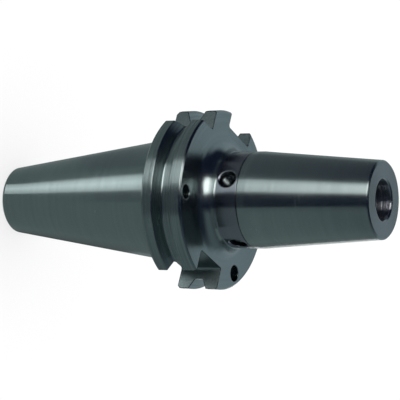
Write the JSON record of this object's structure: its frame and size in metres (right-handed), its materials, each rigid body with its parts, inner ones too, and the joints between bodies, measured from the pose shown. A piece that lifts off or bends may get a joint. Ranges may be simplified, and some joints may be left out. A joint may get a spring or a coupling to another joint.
{
  "type": "shrink fit holder",
  "caption": "Steep-taper tool holder with a gripper flange and a slim conical nose whose heated bore shrinks onto a round tool shank.",
  "frame": {"origin": "centre of the gauge plane of the taper, where its diameter is 44.45 mm", "axes": "+Z along the tool axis towards the nose; +X towards the deeper of the two drive slots"},
  "size_m": [0.0614, 0.0636, 0.1484],
  "materials": {
    "ground_steel": "fine ground and turned, low gloss",
    "screw_steel": "black oxide, satin"
  },
  "bodies": {
    "root": {"holder_body": "ground_steel", "length_stop_screw": "screw_steel"}
  },
  "joints": []
}
